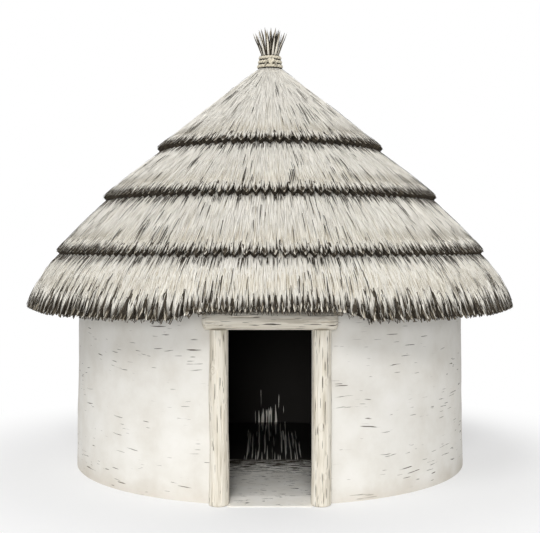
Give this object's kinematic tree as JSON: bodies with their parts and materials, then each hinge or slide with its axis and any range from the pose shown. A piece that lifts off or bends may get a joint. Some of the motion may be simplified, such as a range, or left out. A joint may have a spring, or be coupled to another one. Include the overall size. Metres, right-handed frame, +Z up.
{
  "type": "rondavel hut",
  "caption": "Round hut with a daubed earth wall, an open doorway framed in logs, and a stepped conical roof of thatch on poles, bound to a tuft at its peak.",
  "frame": {"origin": "centre of the round hut, on the ground that the wall stands on", "axes": "+Z up; the doorway faces -Y; +X to the right of someone who looks at the doorway"},
  "size_m": [5.6, 5.5605, 5.0637],
  "materials": {
    "daub": "matte",
    "earth": "matte",
    "log": "matte",
    "pole": "matte",
    "thatch": "matte",
    "rope": "matte"
  },
  "bodies": {
    "root": {"wall_right": "daub", "wall_back_right": "daub", "wall_back_left": "daub", "wall_left": "daub", "wall_front_left": "daub", "wall_front_right": "daub", "wall_over_door": "daub", "earth_floor": "earth", "threshold": "earth", "door_post_left": "log", "door_post_right": "log", "lintel": "log", "inner_lintel": "pole", "wall_plate": "pole", "main_rafter_1": "pole", "main_rafter_2": "pole", "main_rafter_3": "pole", "main_rafter_4": "pole", "main_rafter_5": "pole", "main_rafter_6": "pole", "main_rafter_7": "pole", "main_rafter_8": "pole", "short_rafter_1": "pole", "short_rafter_2": "pole", "short_rafter_3": "pole", "short_rafter_4": "pole", "short_rafter_5": "pole", "short_rafter_6": "pole", "short_rafter_7": "pole", "short_rafter_8": "pole", "crown_block": "pole", "batten_ring_1": "pole", "batten_ring_2": "pole", "batten_ring_3": "pole", "batten_ring_4": "pole", "batten_ring_5": "pole", "batten_ring_6": "pole", "batten_ring_7": "pole", "thatch_top_course": "thatch", "thatch_second_course": "thatch", "thatch_third_course": "thatch", "thatch_eaves_course": "thatch", "finial_tuft": "thatch", "finial_binding": "rope"}
  },
  "joints": []
}
